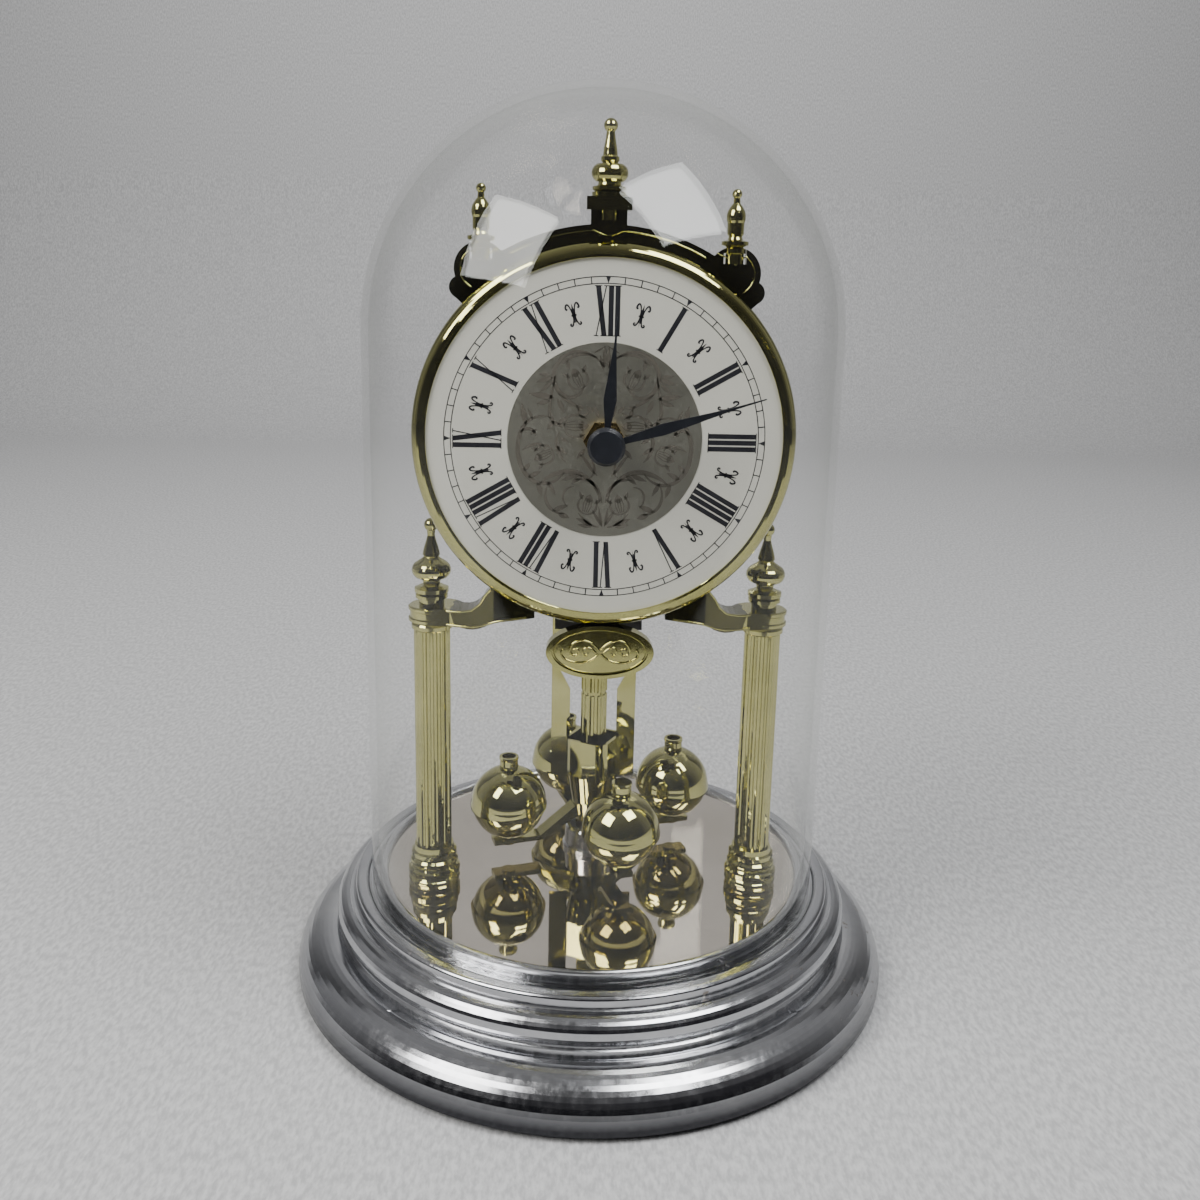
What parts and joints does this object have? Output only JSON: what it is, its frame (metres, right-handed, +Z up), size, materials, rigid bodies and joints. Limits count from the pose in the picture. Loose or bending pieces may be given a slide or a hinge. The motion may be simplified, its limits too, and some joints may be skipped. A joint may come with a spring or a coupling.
{
  "type": "anniversary clock",
  "caption": "Mantel clock on a stepped round base: white dial on two fluted columns, rotating ball pendulum below, all under a lift-off glass dome.",
  "frame": {"origin": "centre of the underside of the base, where it rests", "axes": "+Z up, the dial faces -Y, +X to the right as seen facing the dial"},
  "size_m": [0.16, 0.16, 0.2306],
  "materials": {
    "nickel_plate": "worn nickel plate",
    "gilt_metal": "pale gilt plate, polished",
    "black_card": "matte",
    "green_felt": "felt",
    "steel": "zinc plated",
    "bright_steel": "polished",
    "deck_mirror": "tan silver mirror plate",
    "zinc_pan": "zinc plated",
    "dial_white": "satin enamel",
    "dial_silver": "printed silver",
    "case_plastic": "moulded, matte",
    "cover_plastic": "moulded, matte",
    "brass_bush": "turned brass",
    "board_green": "solder mask",
    "copper_wire": "enamelled copper",
    "magnet": "sintered",
    "hand_black": "satin black paint",
    "gear_white": "moulded acetal",
    "battery_wrap": "plain wrap",
    "clear_dome": "clear"
  },
  "bodies": {
    "stand": {"base_shell": "nickel_plate", "base_bottom_plate": "black_card", "base_felt": "green_felt", "cover_screws": "steel", "deck_plate": "deck_mirror", "pendulum_guide_cup": "bright_steel", "column_left": "gilt_metal", "column_right": "gilt_metal", "column_foot_left": "gilt_metal", "column_foot_right": "gilt_metal", "column_rods": "steel", "column_nuts": "steel", "column_finial_left": "gilt_metal", "column_finial_right": "gilt_metal", "yoke_bracket": "gilt_metal", "crest_plate": "gilt_metal", "crest_finial_centre": "gilt_metal", "crest_finial_left": "gilt_metal", "crest_finial_right": "gilt_metal", "bezel": "gilt_metal", "dial_pan": "zinc_pan", "dial_plate": "dial_white", "dial_centre": "dial_silver", "plaque": "gilt_metal", "yoke_screws": "steel", "guard_fork": "gilt_metal", "movement_case": "case_plastic", "movement_cover": "cover_plastic", "cover_clips": "steel", "centre_bush": "brass_bush", "bush_nut": "brass_bush", "circuit_board": "board_green", "crystal_can": "bright_steel", "motor_coil": "copper_wire", "motor_stator": "steel", "battery_contacts": "bright_steel", "minute_wheel_stud": "steel", "drive_housing": "case_plastic", "drive_coil": "copper_wire", "suspension_plate": "steel"},
    "pendulum": {"pendulum_hanger": "steel", "pendulum_magnet": "magnet", "pendulum_tube": "gilt_metal", "pendulum_cup": "gilt_metal", "pendulum_spindle": "gilt_metal", "pendulum_arms": "gilt_metal", "ball_tops": "gilt_metal", "ball_bottoms": "gilt_metal", "ball_nuts": "gilt_metal", "ball_screws": "gilt_metal"},
    "minute_hand": {"minute_hand": "hand_black", "hand_cap": "hand_black", "minute_arbor": "brass_bush"},
    "hour_hand": {"hour_hand": "hand_black", "hour_wheel": "gear_white"},
    "minute_wheel": {"minute_wheel": "gear_white"},
    "setting_knob": {"setting_knob": "gear_white"},
    "battery": {"battery": "battery_wrap", "battery_pole": "bright_steel"},
    "dome": {"glass_dome": "clear_dome"}
  },
  "joints": [
    {"name": "pendulum_turn", "type": "hinge", "parent": "stand", "child": "pendulum", "pos_m": [0, 0.0075, 0.06], "axis": [0, 0, 1], "range_deg": [-180, 180]},
    {"name": "minute_turn", "type": "hinge", "parent": "stand", "child": "minute_hand", "pos_m": [0, -0.031, 0.1478], "axis": [0, 1, 0], "continuous": true},
    {"name": "hour_turn", "type": "hinge", "parent": "stand", "child": "hour_hand", "pos_m": [0, -0.031, 0.1478], "axis": [0, 1, 0], "continuous": true},
    {"name": "minute_wheel_turn", "type": "hinge", "parent": "stand", "child": "minute_wheel", "pos_m": [0.00848, -0.031, 0.15629], "axis": [0, 1, 0], "continuous": true},
    {"name": "setting_knob_turn", "type": "hinge", "parent": "stand", "child": "setting_knob", "pos_m": [0.02117, -0.0053, 0.15167], "axis": [0, 1, 0], "continuous": true},
    {"name": "battery_out", "type": "slide", "parent": "stand", "child": "battery", "axis": [0, 1, 0], "range_m": [0, 0.018]},
    {"name": "dome_lift", "type": "slide", "parent": "stand", "child": "dome", "axis": [0, 0, 1], "range_m": [0, 0.2]}
  ],
  "couplings": [
    {"joint": "hour_turn", "follows": "minute_turn", "ratio": 0.083333},
    {"joint": "minute_wheel_turn", "follows": "minute_turn", "ratio": -0.33333},
    {"joint": "setting_knob_turn", "follows": "minute_turn", "ratio": 0.66667}
  ]
}
